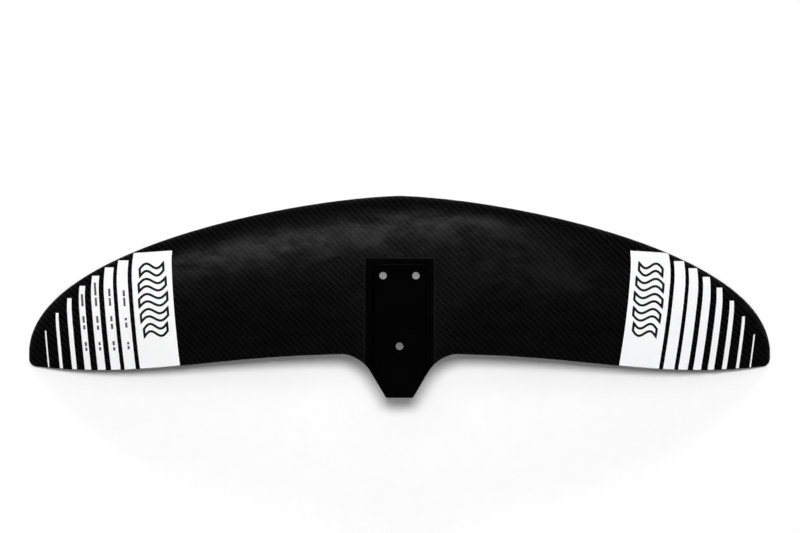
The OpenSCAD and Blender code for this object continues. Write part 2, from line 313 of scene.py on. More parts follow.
def make_piece(name, parts, material, sharp=50):
    """One object from several solids, smooth shaded up to the sharp angle in degrees."""
    points, faces, start = [], [], 0
    for part_points, part_faces in parts:
        used = sorted({i for face in part_faces for i in face})
        place = {old: start + new for new, old in enumerate(used)}
        points += [tuple(part_points[i]) for i in used]
        faces += [tuple(place[i] for i in face) for face in part_faces]
        start += len(used)
    mesh = bpy.data.meshes.new(name)
    mesh.from_pydata(points, [], faces)
    mesh.validate()
    finish_mesh(mesh, sharp)
    piece = bpy.data.objects.new(name, mesh)
    bpy.context.scene.collection.objects.link(piece)
    piece.data.materials.append(material)
    return piece


def finish_mesh(mesh, sharp):
    mesh.shade_smooth()
    mesh.set_sharp_from_angle(angle=math.radians(sharp))


def grid_cells(columns, lines, kept=None):
    """Cells of a grid whose lines run towards the tail, seen from above."""
    return [
        (i * lines + k, i * lines + k + 1, (i + 1) * lines + k + 1, (i + 1) * lines + k)
        for i in range(columns - 1)
        for k in range(lines - 1)
        if kept is None or kept(i, k)
    ]


def grid_plan(xs, lines, place):
    """Plan points of a grid: place gives the Y of every line at one X."""
    return np.array([(x, y) for x in xs for y in place(x, lines)])


def mirrored(xs):
    return np.concatenate([-xs[:0:-1], xs])


def close_up(start, end, count, power, at_end=True):
    """Steps from start to end that shorten towards one of them."""
    t = np.linspace(0, 1, count + 1)
    share = 1 - (1 - t) ** power if at_end else t**power
    return start + (end - start) * share


# ---- Skins and edge bonds ----

BLOCK_SHARE = float(
    (leading(BLOCK_HALF) - BLOCK_FRONT) / (leading(BLOCK_HALF) - tail(BLOCK_HALF))
)
WINDOW_STEPS = np.array([0.06, 0.18, 0.35, 0.8]) * MM
WINDOW_RIBS = 17
SHOULDER_RIBS = 26
OUTER_RIBS = 130
FRONT_LINES = 26
REAR_LINES = 32
REAR_BUNCHING = 1.9


def spanwise():
    """Ribs of one half wing, close together at the window's edge and at the tip."""
    inside = np.linspace(0, BLOCK_HALF, WINDOW_RIBS)
    shoulder = np.linspace(BLOCK_HALF + 2 * MM, BLEND_END, SHOULDER_RIBS)
    t = np.sin(np.linspace(0, np.pi / 2, OUTER_RIBS + 1))[1:]
    return np.concatenate(
        [inside, BLOCK_HALF + WINDOW_STEPS, shoulder, mix(BLEND_END, SPAN_HALF, t)]
    )


def shares():
    """Chord shares of the lines, close together at both edges and at the window's front."""
    front = close_up(0, BLOCK_SHARE, FRONT_LINES, 2, at_end=False)
    window = BLOCK_SHARE - WINDOW_STEPS[::-1] / (leading(0.0) - BLOCK_FRONT) * BLOCK_SHARE
    rear = close_up(BLOCK_SHARE, 1, REAR_LINES, REAR_BUNCHING)[1:]
    return np.concatenate([front[:-1], window, [BLOCK_SHARE], rear])


def line_y(x, f):
    """Lines ahead of the block run right across it, and the others follow the chord."""
    if abs(x) < BLOCK_HALF:
        return leading(x) - (leading(x) - BLOCK_FRONT) * f / BLOCK_SHARE
    return leading(x) - (leading(x) - tail(x)) * f


def make_skin(name, node, top, bottom, material):
    xs, fs = mirrored(spanwise()), shares()
    middles = (xs[:-1] + xs[1:]) / 2
    front = int(np.argmin(np.abs(fs - BLOCK_SHARE)))
    plan = grid_plan(xs, fs, line_y)
    cells = grid_cells(
        len(xs), len(fs), lambda i, k: abs(middles[i]) > BLOCK_HALF or k < front
    )
    x, y = plan.T
    piece = make_piece(name, [solid(plan, cells, top(x, y), bottom(x, y))], material)
    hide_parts(node)
    return piece


def make_bond(name, node, xs, fs, material):
    """The line of paste between the skins along an edge."""
    plan = grid_plan(xs, fs, line_y)
    x, y = plan.T
    half = inner_half(x, y)
    parts = [
        solid(plan, grid_cells(len(xs), len(fs)), middle(x, y) + half, middle(x, y) - half)
    ]
    piece = make_piece(name, parts, material)
    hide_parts(node)
    return piece


# ---- Centre block ----

RIM_R = 0.9 * MM
FLOOR_R = 2.2 * MM
DRAFT = 0.25 * MM
OUTLINE_R = 1.3 * MM
GROOVE_R = 0.6 * MM
BLOCK_LINES = 52
LINES_TO_EDGE = np.array([3.0, 2.0, 1.3, 0.85, 0.5, 0.25, 0.1, 0.03, 0.0]) * MM
CORNER_CX = SEAT_HALF - SEAT_CORNER_R
CORNER_CY = SEAT_FRONT - SEAT_CORNER_R


def seat_section():
    """Lines across the seat's wall: radius from the corner's centre, or a share of the collar
    beyond it, with the height as base + share of the collar's height."""
    rows = [(r * MM, 0.0, 0.0, 0.0) for r in (0, 2, 3.4, 4.6)]
    foot = SEAT_CORNER_R - DRAFT
    for a in np.radians(np.linspace(0, 90, 8)):
        radius = foot - FLOOR_R + FLOOR_R * math.sin(a)
        rows.append((radius, 0.0, FLOOR_R * (1 - math.cos(a)), 0.0))
    for t in (0.35, 0.7):
        rows.append((foot + DRAFT * t, 0.0, mix(FLOOR_R, -RIM_R, t), t))
    for b in np.radians(np.linspace(0, 90, 7)):
        radius = SEAT_CORNER_R + RIM_R * (1 - math.cos(b))
        rows.append((radius, 0.0, -RIM_R * (1 - math.sin(b)), 1.0))
    rim = SEAT_CORNER_R + RIM_R
    for share in (0.3, 0.6, 0.85, 0.925, 0.955, 0.98, 0.994, 1.0):
        rows.append((rim, share, 0.0, 1.0))
    return rows


def block_ys(x, start, count):
    """Lines from start back to the rear outline, the last ones close to it."""
    end = float(tail(x))
    last = LINES_TO_EDGE * float(steepness(tail, x))
    body = np.linspace(start, end + last[0], count + 1)[:-1]
    return np.concatenate([body, end + last])


def block_patches():
    """Grids of (x, y, base, share) over the block: behind the corners, between and round them."""
    section = seat_section()
    inner = np.concatenate(
        [
            np.linspace(0, CORNER_X, 7),
            np.linspace(CORNER_X, CORNER_END_X + 0.4 * MM, 11)[1:],
            np.linspace(CORNER_END_X + 0.4 * MM, CORNER_CX, 5)[1:-1],
        ]
    )

    def reach(radius, share, limit):
        return mix(radius, limit, share) if share else radius

    side = [
        (CORNER_CX + reach(r, share, BLOCK_HALF - CORNER_CX), base, part)
        for r, share, base, part in section
    ]
    half = [(x, 0.0, 0.0) for x in inner] + side
    columns = [(-x, base, part) for x, base, part in half[:0:-1]] + half
    rear = [
        [(x, y, base, part) for y in block_ys(x, CORNER_CY, BLOCK_LINES)]
        for x, base, part in columns
    ]
    ahead = [
        (CORNER_CY + reach(r, share, BLOCK_FRONT - CORNER_CY), base, part)
        for r, share, base, part in section
    ]
    middle_xs = [x for x, base, part in columns if abs(x) <= CORNER_CX + TINY]
    front = [[(x, y, base, part) for y, base, part in reversed(ahead)] for x in middle_xs]
    diagonal = math.atan2(BLOCK_FRONT - CORNER_CY, BLOCK_HALF - CORNER_CX)
    turns = np.concatenate(
        [np.linspace(0, diagonal, 9), np.linspace(diagonal, math.pi / 2, 9)[1:]]
    )
    patches = [rear, front]
    for way in (-1, 1):
        corner = []
        for turn in turns[::way]:
            limit = min(
                (BLOCK_HALF - CORNER_CX) / max(math.cos(turn), TINY),
                (BLOCK_FRONT - CORNER_CY) / max(math.sin(turn), TINY),
            )
            corner.append(
                [
                    (
                        way * (CORNER_CX + reach(r, share, limit) * math.cos(turn)),
                        CORNER_CY + reach(r, share, limit) * math.sin(turn),
                        base,
                        part,
                    )
                    for r, share, base, part in reversed(section)
                ]
            )
        patches.append(corner[::-1])
    return patches


WELD = 1e-7


def block_solid():
    """The block without its holes, its patches welded into one plan mesh."""
    index, rows, cells = {}, [], []

    def number(point):
        key = (round(point[0] / WELD), round(point[1] / WELD))
        if key not in index:
            index[key] = len(rows)
            rows.append(point)
        return index[key]

    for patch in block_patches():
        numbers = [[number(p) for p in column] for column in patch]
        for left, right in zip(numbers, numbers[1:]):
            for k in range(len(left) - 1):
                corners = (left[k], left[k + 1], right[k + 1], right[k])
                cell = tuple(dict.fromkeys(corners))
                if len(cell) > 2:
                    cells.append(cell)
    x, y, base, share = np.array(rows).T
    edge = round_off(np.maximum(y - tail(x), 0) / steepness(tail, x), OUTLINE_R)
    groove = round_off(-window_distance(x, y), GROOVE_R)
    top = base + share * (upper(x, y) - UNDER) - edge - np.where(share == 1, groove, 0)
    bottom = lower(x, y) + edge + groove
    return solid(np.column_stack([x, y]), cells, top, bottom)


BUSHES = ("front_port_bush", "front_starboard_bush", "rear_bush")
CUTTER_TURNS = 128
BUSH_TURNS = 160
CLEAR = 0.02 * MM
CUT_REACH = 40 * MM
CHAMFER = 0.35 * MM


def lathe(section, centre, turns):
    """A solid turned round a vertical axis from a closed section of (radius, z)."""
    count = len(section)
    angles = np.linspace(0, 2 * np.pi, turns, endpoint=False)
    points = [
        (centre[0] + r * math.cos(a), centre[1] + r * math.sin(a), z)
        for a in angles
        for r, z in section
    ]
    faces = []
    for t in range(turns):
        for k in range(count):
            a, b = t * count + k, t * count + (k + 1) % count
            c = ((t + 1) % turns) * count
            faces.append((a, c + k, c + (k + 1) % count, b))
    return points, faces


def hole_cutter(name, centre, face_z):
    """Cuts one screw hole with a chamfer at the seat, and the pocket for its bush."""
    pocket_r = FLANGE_R + 2 * CLEAR
    mouth_r = FLANGE_R + 0.5 * MM
    tube_r = BUSH_R + 1.5 * CLEAR
    rim_r = SCREW_HOLE_R + CHAMFER + 0.3 * MM
    shoulder_z = face_z + FLANGE_T + CLEAR
    lip_z = -LIP_T + CLEAR
    section = [
        (CLEAR, -CUT_REACH),
        (mouth_r, -CUT_REACH),
        (mouth_r, face_z - 0.45 * MM),
        (pocket_r, face_z + 0.1 * MM),
        (pocket_r, shoulder_z),
        (tube_r, shoulder_z),
        (tube_r, lip_z),
        (SCREW_HOLE_R, lip_z),
        (SCREW_HOLE_R, -CHAMFER),
        (rim_r, 0.3 * MM),
        (rim_r, CUT_REACH),
        (CLEAR, CUT_REACH),
    ]
    points, faces = lathe(section, centre, CUTTER_TURNS)
    count = len(section)
    last = count - 1
    faces = [f for f in faces if not {i % count for i in f} <= {0, last}]
    faces.append(tuple(t * count for t in reversed(range(CUTTER_TURNS))))
    faces.append(tuple(t * count + last for t in range(CUTTER_TURNS)))
    mesh = bpy.data.meshes.new(name)
    mesh.from_pydata(points, [], faces)
    cutter = bpy.data.objects.new(name, mesh)
    bpy.context.scene.collection.objects.link(cutter)
    return cutter


def cut_with(piece, cutters, sharp):
    """Subtracts the cutters from the piece for good, and removes them."""
    for cutter in cutters:
        cut = piece.modifiers.new(cutter.name, "BOOLEAN")
        cut.operation = "DIFFERENCE"
        cut.solver = "EXACT"
        cut.object = cutter
    graph = bpy.context.evaluated_depsgraph_get()
    mesh = bpy.data.meshes.new_from_object(piece.evaluated_get(graph), depsgraph=graph)
    piece.modifiers.clear()
    piece.data = mesh
    for cutter in cutters:
        bpy.data.objects.remove(cutter)
    finish_mesh(mesh, sharp)


def bush_centre(node):
    low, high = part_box(node)
    return ((low.x + high.x) / 2, (low.y + high.y) / 2)


def make_block(material):
    piece = make_piece("moulded_centre_block", [block_solid()], material)
    cutters = [
        hole_cutter("cut_" + node, bush_centre(node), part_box(node)[0].z) for node in BUSHES
    ]
    cut_with(piece, cutters, sharp=35)
    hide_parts("centre_block")
    return piece


def make_bush(node, material):
    """A turned steel bush with a countersunk flange and broken edges."""
    low_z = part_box(node)[0].z
    fine = 0.3 * MM
    cone_top = low_z + HEAD_R - SCREW_HOLE_R
    section = [
        (SCREW_HOLE_R, cone_top),
        (SCREW_HOLE_R, -LIP_T - fine),
        (SCREW_HOLE_R + fine, -LIP_T),
        (BUSH_R - fine, -LIP_T),
        (BUSH_R, -LIP_T - fine),
        (BUSH_R, low_z + FLANGE_T),
        (FLANGE_R - fine, low_z + FLANGE_T),
        (FLANGE_R, low_z + FLANGE_T - fine),
        (FLANGE_R, low_z + fine),
        (FLANGE_R - fine, low_z),
        (HEAD_R + fine / 2, low_z),
        (HEAD_R - fine / 2, low_z + fine),
    ]
    points, faces = lathe(section[::-1], bush_centre(node), BUSH_TURNS)
    piece = make_piece("turned_" + node, [(points, faces)], material, sharp=25)
    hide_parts(node)
    return piece


# ---- White film, emblem and marks ----

FILM_T = 0.12 * MM
FILM_SINK = 0.05 * MM
INK_T = 0.07 * MM
FILM_MARGIN = 0.6 * MM
FILM_BUNCHING = 1.15
PANEL_CELLS = (24, 72)
STRIPE_CELLS = (6, 64)
INK_STEP = 1.0 * MM
MITRE_LEAST = 0.45
PANEL_IN = 175.1 * MM
PANEL_W = 46.8 * MM
PANEL_TOP_IN = 29.1 * MM
PANEL_TOP_OUT = 26.2 * MM
STRIPES = 7
STRIPE_IN = 123.4 * MM
STRIPE_W = 12.9 * MM
STRIPE_TAPER = 1.87 * MM
STRIPE_STEP = 17.7 * MM
STRIPE_CLOSING = 0.21 * MM
TOP_GAP = {"port": 4.5 * MM, "starboard": 3.5 * MM}
TOP_GAP_RISE = {"port": 20 * MM, "starboard": 25 * MM}
TOP_GAP_POWER = 2.3
TURN_IN = 3 * MM
TURN_REACH = 32 * MM
BOW = {"port": 9.9 * MM, "starboard": 14 * MM}
BOW_LOSS = 0.03
BOW_Y = 20 * MM
BOW_END_Y = -105 * MM
BOW_POWER = 1.55
SIDES = {"port": -1, "starboard": 1}


def bow(y):
    """How far out a band has bowed at y, as a share of its full bow."""
    t = (BOW_Y - y) / (BOW_Y - BOW_END_Y)
    return 1 - np.sign(t) * np.abs(t) ** BOW_POWER


def turn(x, y):
    """How far a band turns in again where the surface rolls over to the leading edge."""
    return TURN_IN * (1 - np.clip((leading(x) - y) / TURN_REACH, 0, 1)) ** 2


def film_x(foot, full_bow, y):
    x = foot + full_bow * bow(y)
    return x - turn(x, y)


def film_plan(side, inner, width, full_bow, top_in, top_out, columns, rows):
    """Plan of a band from the trailing edge to its straight top."""
    plan = []
    sign = SIDES[side]
    us = np.linspace(0, 1, columns + 1)
    for u in us if sign > 0 else us[::-1]:
        foot = inner + u * width
        end = trailing(foot) + FILM_MARGIN
        y = mix(mix(top_in, top_out, u), end, np.linspace(0, 1, rows + 1) ** FILM_BUNCHING)
        x = film_x(foot, full_bow, y)
        y = np.minimum(y, leading(x) - FILM_MARGIN)
        plan += list(zip(sign * x, y))
    return np.array(plan), grid_cells(columns + 1, rows + 1)


def on_surface(plan, cells, sink, rise):
    """A thin solid that follows the upper surface."""
    x, y = plan.T
    z = skin_top(x, y)
    return solid(plan, cells, z + rise, z - sink)


def stripe_sizes(side, number):
    """Inner edge, width, bow and top of one stripe."""
    k = number - 1
    inner = SPAN_HALF - STRIPE_IN + (STRIPE_STEP + STRIPE_CLOSING) * k - STRIPE_CLOSING * k**2
    width = STRIPE_W - STRIPE_TAPER * k
    full_bow = BOW[side] * (1 - BOW_LOSS * k)
    gap = TOP_GAP[side] + TOP_GAP_RISE[side] * (k / (STRIPES - 1)) ** TOP_GAP_POWER
    guess = leading(inner + width / 2 + full_bow) - gap
    top = leading(film_x(inner + width / 2, full_bow, guess)) - gap
    return inner, width, full_bow, float(top)


def make_film(name, node, plan, cells, material):
    piece = make_piece(name, [on_surface(plan, cells, FILM_SINK, FILM_T)], material)
    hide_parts(node)
    return piece


def make_films(side, material):
    plan, cells = film_plan(
        side, SPAN_HALF - PANEL_IN, PANEL_W, BOW[side], PANEL_TOP_IN, PANEL_TOP_OUT, *PANEL_CELLS
    )
    pieces = [make_film("film_panel_" + side, "tip_panel_" + side, plan, cells, material)]
    for number in range(1, STRIPES + 1):
        inner, width, full_bow, top = stripe_sizes(side, number)
        plan, cells = film_plan(side, inner, width, full_bow, top, top, *STRIPE_CELLS)
        name = f"stripe_{number}_{side}"
        pieces.append(make_film("film_" + name, name, plan, cells, material))
    return pieces


def closer(path, closed):
    """The same path with extra points, so that lines on the curved film stay on it."""
    ends = np.roll(path, -1, 0) if closed else path[1:]
    points = []
    for start, end in zip(path, ends):
        count = max(1, math.ceil(np.linalg.norm(end - start) / INK_STEP))
        points += [mix(start, end, t) for t in np.arange(count) / count]
    return np.array(points if closed else [*points, path[-1]])


def ribbon(path, width, closed):
    """Plan of a line of this width along a path of plan points, with mitred corners."""
    path = closer(np.array(path), closed)
    ahead = np.roll(path, -1, 0) - path
    behind = path - np.roll(path, 1, 0)
    if not closed:
        ahead[-1], behind[0] = behind[-1], ahead[0]
    ahead /= np.linalg.norm(ahead, axis=1)[:, None]
    behind /= np.linalg.norm(behind, axis=1)[:, None]
    square = np.column_stack([-(ahead + behind)[:, 1], (ahead + behind)[:, 0]])
    square /= np.linalg.norm(square, axis=1)[:, None]
    across = np.column_stack([-ahead[:, 1], ahead[:, 0]])
    stretch = 1 / np.maximum((square * across).sum(1), MITRE_LEAST)
    offset = square * (width / 2 * stretch)[:, None]
    count = len(path)
    plan = np.concatenate([path + offset, path - offset])
    pairs = [(i, (i + 1) % count) for i in range(count if closed else count - 1)]
    return plan, [(i, i + count, j + count, j) for i, j in pairs]


EMBLEM_BANDS = 5
EMBLEM_Y = -28 * MM
EMBLEM_STEP = 17.5 * MM
EMBLEM_HALF_W = 16.5 * MM
EMBLEM_BAND = 8.5 * MM
EMBLEM_WAVE = 4.2 * MM
EMBLEM_LINE = 2.8 * MM
EMBLEM_SLOPE = 0.25
EMBLEM_POINTS = 33


def emblem_paths(side):
    """Closed outlines of five wave bands that step along the panel, widest in the middle."""
    paths = []
    for band in range(EMBLEM_BANDS):
        place = band - (EMBLEM_BANDS - 1) / 2
        half = EMBLEM_HALF_W * math.sqrt(1 - (place / (EMBLEM_BANDS - 1.4)) ** 2)
        t = np.linspace(-1, 1, EMBLEM_POINTS)
        wave = EMBLEM_WAVE * np.sin(np.pi * t) - EMBLEM_SLOPE * half * t
        y = EMBLEM_Y + EMBLEM_STEP * place + wave
        loop_t = np.concatenate([t, t[::-1]])
        loop_y = np.concatenate([y + EMBLEM_BAND / 2, y[::-1] - EMBLEM_BAND / 2])
        middle_x = SPAN_HALF - PANEL_IN + PANEL_W * 0.5 + BOW[side] * bow(loop_y)
        paths.append(np.column_stack([SIDES[side] * (middle_x + half * loop_t), loop_y]))
    return paths


def make_emblem(side, material):
    parts = []
    for path in emblem_paths(side):
        if SIDES[side] < 0:
            path = path[::-1]
        plan, cells = ribbon(path, EMBLEM_LINE, True)
        parts.append(on_surface(plan, cells, -FILM_T / 2, FILM_T + INK_T))
    return make_piece("wave_emblem_" + side, parts, material)


MARK_W = 2.5 * MM
MARK_PLACE = 0.42
# Grey dashes on the first four port stripes, as (front, rear) in millimetres behind the screws
MARKS = {
    1: ((17, 24.5), (25.5, 35.5), (49, 53), (54.5, 61), (77, 80), (81.5, 85.5)),
    2: ((15, 24.5), (26, 35.5), (47, 53.5), (56, 62.5), (76, 81.5), (83, 88)),
    3: ((8, 23.5), (25.5, 35.5), (47, 56), (58, 63.5), (77, 81.5), (83, 88)),
    4: ((21.5, 35.5), (47, 55.5), (57.5, 63), (77, 82), (83.5, 88)),
}


def make_marks(side, material):
    """Plain dashes where the object has its small print."""
    parts = []
    for number, spans in MARKS.items():
        inner, width, full_bow, top = stripe_sizes(side, number)
        for front, rear in spans:
            y = np.arange(-front * MM, -rear * MM, -INK_STEP)
            x = SIDES[side] * (inner + width * MARK_PLACE + full_bow * bow(y))
            plan, cells = ribbon(np.column_stack([x, y]), MARK_W, False)
            parts.append(on_surface(plan, cells, -FILM_T / 2, FILM_T + INK_T))
    return make_piece("stripe_marks_" + side, parts, material)


# ---- Material nodes ----


def feed(tree, socket, value):
    """Links a socket to another node's output, or sets its value."""
    if isinstance(value, bpy.types.NodeSocket):
        tree.links.new(value, socket)
    else:
        socket.default_value = value


def calc(tree, operation, *values):
    node = tree.nodes.new("ShaderNodeMath")
    node.operation = operation
    for socket, value in zip(node.inputs, values):
        feed(tree, socket, value)
    return node.outputs[0]


def blend(tree, share, a, b):
    """A number or colour between a and b."""
    node = tree.nodes.new("ShaderNodeMix")
    colours = isinstance(a, tuple) or isinstance(b, tuple)
    node.data_type = "RGBA" if colours else "FLOAT"
    feed(tree, node.inputs[0], share)
    feed(tree, node.inputs[6 if colours else 2], a)
    feed(tree, node.inputs[7 if colours else 3], b)
    return node.outputs[2 if colours else 0]


def noise(tree, vector, scale, detail=4.0, roughness=0.5):
    node = tree.nodes.new("ShaderNodeTexNoise")
    feed(tree, node.inputs["Vector"], vector)
    node.inputs["Scale"].default_value = scale
    node.inputs["Detail"].default_value = detail
    node.inputs["Roughness"].default_value = roughness
    return node.outputs["Fac"]


def stretched(tree, vector, scale):
    node = tree.nodes.new("ShaderNodeMapping")
    feed(tree, node.inputs["Vector"], vector)
    node.inputs["Scale"].default_value = scale
    return node.outputs["Vector"]


def bump(tree, height, distance, strength=1.0, normal=None):
    node = tree.nodes.new("ShaderNodeBump")
    node.inputs["Strength"].default_value = strength
    node.inputs["Distance"].default_value = distance
    feed(tree, node.inputs["Height"], height)
    if normal is not None:
        feed(tree, node.inputs["Normal"], normal)
    return node.outputs["Normal"]


def ranged(tree, value, low, high, to_low, to_high):
    node = tree.nodes.new("ShaderNodeMapRange")
    feed(tree, node.inputs["Value"], value)
    for socket, number in zip(node.inputs[1:5], (low, high, to_low, to_high)):
        socket.default_value = number
    return node.outputs[0]


def spread(tree, field, low, high):
    """Spreads the middle of a noise field over the range from low to high."""
    return ranged(tree, field, 0.3, 0.7, low, high)


def new_material(name, **constants):
    """A material with these numbers on its own shader, its tree, and its object coordinates."""
    material = bpy.data.materials.new(name)
    material.use_nodes = True
    tree = material.node_tree
    shader = tree.nodes["Principled BSDF"]
    for socket, value in constants.items():
        shader.inputs[socket.replace("_", " ")].default_value = value
    place = tree.nodes.new("ShaderNodeTexCoord").outputs["Object"]
    return material, tree, shader, place


def grey(value):
    return (value, value, value, 1.0)


# ---- Materials ----

TOW = 2.0 * MM
TOW_ARCH = 2.4
FLOAT_ARCH = 3.0
# Width of the weave-free resin band round the window, which is also painted lighter as the edge's
# highlight.
RESIN_AND_PAINTED_HIGHLIGHT_W = 2.1 * MM


def twill(tree, place):
    """Two-by-two twill of tows along X and Y: which way the top tow runs, and its height."""
    split = tree.nodes.new("ShaderNodeSeparateXYZ")
    feed(tree, split.inputs[0], place)
    u = calc(tree, "DIVIDE", split.outputs[0], TOW)
    v = calc(tree, "DIVIDE", split.outputs[1], TOW)
    fu, fv = calc(tree, "FRACT", u), calc(tree, "FRACT", v)
    cell = calc(tree, "ADD", calc(tree, "FLOOR", u), calc(tree, "FLOOR", v))
    step = calc(tree, "FLOORED_MODULO", cell, 4.0)
    lengthwise = calc(tree, "LESS_THAN", step, 1.5)

    def arch(t, power):
        off = calc(tree, "ABSOLUTE", calc(tree, "MULTIPLY_ADD", t, 2.0, -1.0))
        return calc(tree, "SUBTRACT", 1.0, calc(tree, "POWER", off, power))

    warp_along = calc(tree, "MULTIPLY", calc(tree, "ADD", fv, step), 0.5)
    weft_step = calc(tree, "SUBTRACT", step, 2.0)
    weft_along = calc(tree, "MULTIPLY", calc(tree, "ADD", fu, weft_step), 0.5)
    warp = calc(tree, "MULTIPLY", arch(fu, TOW_ARCH), arch(warp_along, FLOAT_ARCH))
    weft = calc(tree, "MULTIPLY", arch(fv, TOW_ARCH), arch(weft_along, FLOAT_ARCH))
    height = blend(tree, lengthwise, weft, warp)
    return split, lengthwise, height


def upright(tree):
    """One on walls that stand up, where the cloth ends, and nothing on the flat sides."""
    split = tree.nodes.new("ShaderNodeSeparateXYZ")
    feed(tree, split.inputs[0], tree.nodes.new("ShaderNodeTexCoord").outputs["Normal"])
    flatness = calc(tree, "ABSOLUTE", split.outputs[2])
    return ranged(tree, flatness, 0.25, 0.45, 1.0, 0.0)


def carbon_material():
    """Clear-coated twill, plain on upright walls and in a band round the window; that band is
    weave-free resin, coloured lighter as a painted highlight of the window's edge.
    """
    material, tree, shader, place = new_material("twill_carbon", Coat_Roughness=0.27)
    split, lengthwise, height = twill(tree, place)
    clouds = noise(tree, place, 9.0, 3.0)
    patches = noise(tree, stretched(tree, place, (0.45, 1.0, 1.0)), 70.0, 5.0, 0.62)
    grain = noise(tree, place, 900.0, 2.0)
    off_centre = calc(tree, "ABSOLUTE", split.outputs[0])
    # Mask of the resin band round the window, painted lighter below as the window edge's
    # highlight.
    beside = calc(tree, "LESS_THAN", off_centre, BLOCK_HALF + RESIN_AND_PAINTED_HIGHLIGHT_W)
    behind = calc(tree, "LESS_THAN", split.outputs[1], BLOCK_FRONT + RESIN_AND_PAINTED_HIGHLIGHT_W)
    resin_band_and_painted_highlight = calc(tree, "MULTIPLY", beside, behind)
    plain = calc(tree, "MAXIMUM", resin_band_and_painted_highlight, upright(tree))
    colour = blend(tree, lengthwise, grey(0.0005), grey(0.0020))
    # Painted highlight: the lighter grey on the band round the window stands in for the light
    # caught by the window's edge; the upright walls get the same grey.
    colour = blend(tree, plain, colour, grey(0.003))
    shine = blend(tree, plain, blend(tree, lengthwise, 0.09, 0.20), 0.18)
    rough = blend(tree, lengthwise, 0.46, 0.38)
    rough = blend(tree, plain, rough, 0.36)
    rough = calc(tree, "ADD", rough, spread(tree, clouds, -0.03, 0.03))
    weave = calc(tree, "MULTIPLY", height, calc(tree, "SUBTRACT", 1.0, plain))
    fine = bump(tree, grain, 0.02 * MM, 0.25)
    feed(tree, shader.inputs["Base Color"], colour)
    feed(tree, shader.inputs["Roughness"], rough)
    feed(tree, shader.inputs["Specular IOR Level"], shine)
    coat = ranged(tree, patches, 0.34, 0.66, 0.10, 1.0)
    feed(tree, shader.inputs["Coat Weight"], coat)
    feed(tree, shader.inputs["Normal"], bump(tree, weave, 0.2 * MM, 0.5, fine))
    return material


def block_material():
    """Satin black moulding with a faint flow along Y."""
    material, tree, shader, place = new_material("satin_black_moulding", Specular_IOR_Level=0.07)
    clouds = noise(tree, place, 28.0, 4.0)
    grain = noise(tree, place, 2600.0, 2.0)
    flow = noise(tree, stretched(tree, place, (1.0, 0.08, 1.0)), 160.0, 2.0)
    shade = spread(tree, clouds, 0.0, 1.0)
    feed(tree, shader.inputs["Base Color"], blend(tree, shade, grey(0.0001), grey(0.0004)))
    streaks = spread(tree, flow, -0.03, 0.03)
    rough = calc(tree, "ADD", spread(tree, clouds, 0.44, 0.56), streaks)
    feed(tree, shader.inputs["Roughness"], rough)
    fine = bump(tree, flow, 0.05 * MM, 0.2)
    feed(tree, shader.inputs["Normal"], bump(tree, grain, 0.03 * MM, 0.35, fine))
    return material


def film_material():
    material, tree, shader, place = new_material("white_film", Specular_IOR_Level=0.35)
    clouds = noise(tree, place, 14.0, 4.0)
    peel = noise(tree, place, 420.0, 2.0)
    shade = spread(tree, clouds, 0.0, 1.0)
    white = blend(tree, shade, (0.80, 0.805, 0.805, 1), (0.835, 0.84, 0.845, 1))
    feed(tree, shader.inputs["Base Color"], white)
    feed(tree, shader.inputs["Roughness"], spread(tree, clouds, 0.34, 0.44))
    feed(tree, shader.inputs["Normal"], bump(tree, peel, 0.05 * MM, 0.12))
    return material


def ink_material(name, dark, light):
    material, tree, shader, place = new_material(name, Specular_IOR_Level=0.2)
    clouds = noise(tree, place, 300.0, 3.0)
    shade = spread(tree, clouds, 0.0, 1.0)
    feed(tree, shader.inputs["Base Color"], blend(tree, shade, grey(dark), grey(light)))
    feed(tree, shader.inputs["Roughness"], spread(tree, clouds, 0.4, 0.55))
    feed(tree, shader.inputs["Normal"], bump(tree, clouds, 0.02 * MM, 0.2))
    return material


def resin_material():
    material, tree, shader, place = new_material("bond_paste", Specular_IOR_Level=0.25)
    clouds = noise(tree, place, 120.0, 4.0)
    shade = spread(tree, clouds, 0.0, 1.0)
    feed(tree, shader.inputs["Base Color"], blend(tree, shade, grey(0.004), grey(0.012)))
    feed(tree, shader.inputs["Roughness"], spread(tree, clouds, 0.3, 0.5))
    feed(tree, shader.inputs["Normal"], bump(tree, clouds, 0.05 * MM, 0.3))
    return material


def steel_material():
    """Turned stainless steel, with fine rings round each bush."""
    material, tree, shader, place = new_material("turned_steel", Metallic=1.0)
    rings = noise(tree, stretched(tree, place, (1.0, 1.0, 40.0)), 900.0, 3.0)
    clouds = noise(tree, place, 200.0, 3.0)
    shade = spread(tree, clouds, 0.0, 1.0)
    steel = blend(tree, shade, (0.52, 0.53, 0.54, 1), (0.64, 0.645, 0.65, 1))
    feed(tree, shader.inputs["Base Color"], steel)
    feed(tree, shader.inputs["Roughness"], spread(tree, rings, 0.22, 0.38))
    feed(tree, shader.inputs["Normal"], bump(tree, rings, 0.02 * MM, 0.3))
    return material


def foam_material(name, dark, light):
    """Closed-cell foam: small round cells with thin walls."""
    material, tree, shader, place = new_material(name, Roughness=0.85, Specular_IOR_Level=0.2)
    cells = tree.nodes.new("ShaderNodeTexVoronoi")
    feed(tree, cells.inputs["Vector"], place)
    cells.inputs["Scale"].default_value = 1400.0
    distance = cells.outputs["Distance"]
    feed(tree, shader.inputs["Base Color"], blend(tree, distance, dark, light))
    feed(tree, shader.inputs["Normal"], bump(tree, distance, 0.3 * MM, 0.5))
    return material


